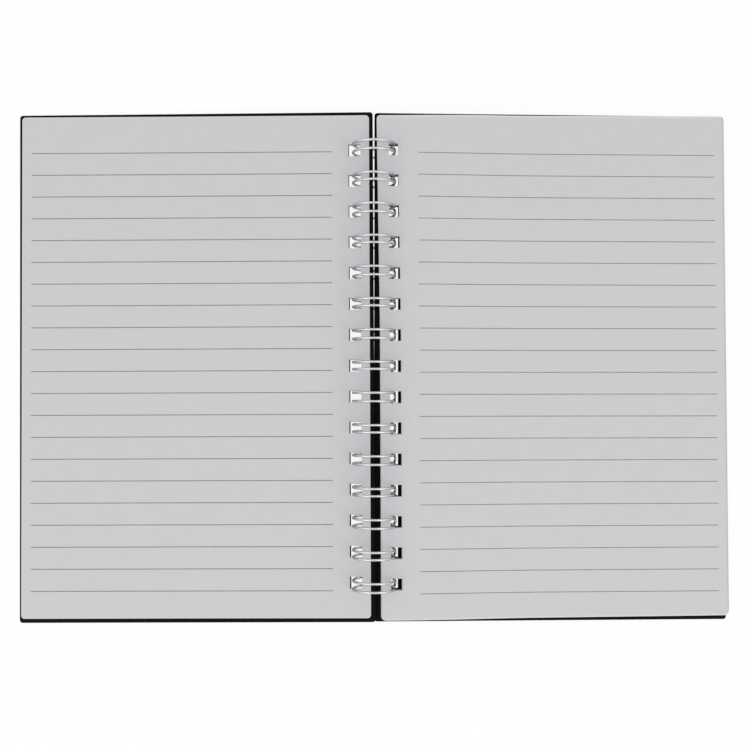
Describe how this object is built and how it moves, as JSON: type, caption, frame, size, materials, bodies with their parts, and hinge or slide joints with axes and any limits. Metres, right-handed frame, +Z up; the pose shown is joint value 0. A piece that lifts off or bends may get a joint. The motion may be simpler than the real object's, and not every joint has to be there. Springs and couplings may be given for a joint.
{
  "type": "open wire-bound notebook",
  "caption": "Open ruled notebook with thin black covers and leaves threaded on a twin-loop wire; the front cover with its leaves and the page stack turn about the wire.",
  "frame": {"origin": "on the table, under the middle of the wire's axis", "axes": "+X to the right across both pages, +Y along the wire towards the head of the pages, +Z up"},
  "size_m": [0.2946, 0.2107, 0.0178],
  "materials": {
    "cover": "fine-grained matt black sheet",
    "leaf": "uncoated white writing paper with fine grey ruling",
    "wire": "smooth silver wire"
  },
  "bodies": {
    "base": {"back_cover": "cover", "wire_binding": "wire"},
    "page_stack": {"right_pages": "leaf"},
    "front_half": {"front_cover": "cover", "left_pages": "leaf"}
  },
  "joints": [
    {"name": "front_cover_turn", "type": "hinge", "parent": "base", "child": "front_half", "pos_m": [0, 0, 0.009], "axis": [0, 1, 0], "range_deg": [0, 184.5]},
    {"name": "page_stack_turn", "type": "hinge", "parent": "base", "child": "page_stack", "pos_m": [0, 0, 0.009], "axis": [0, -1, 0], "range_deg": [0, 184.5]}
  ]
}
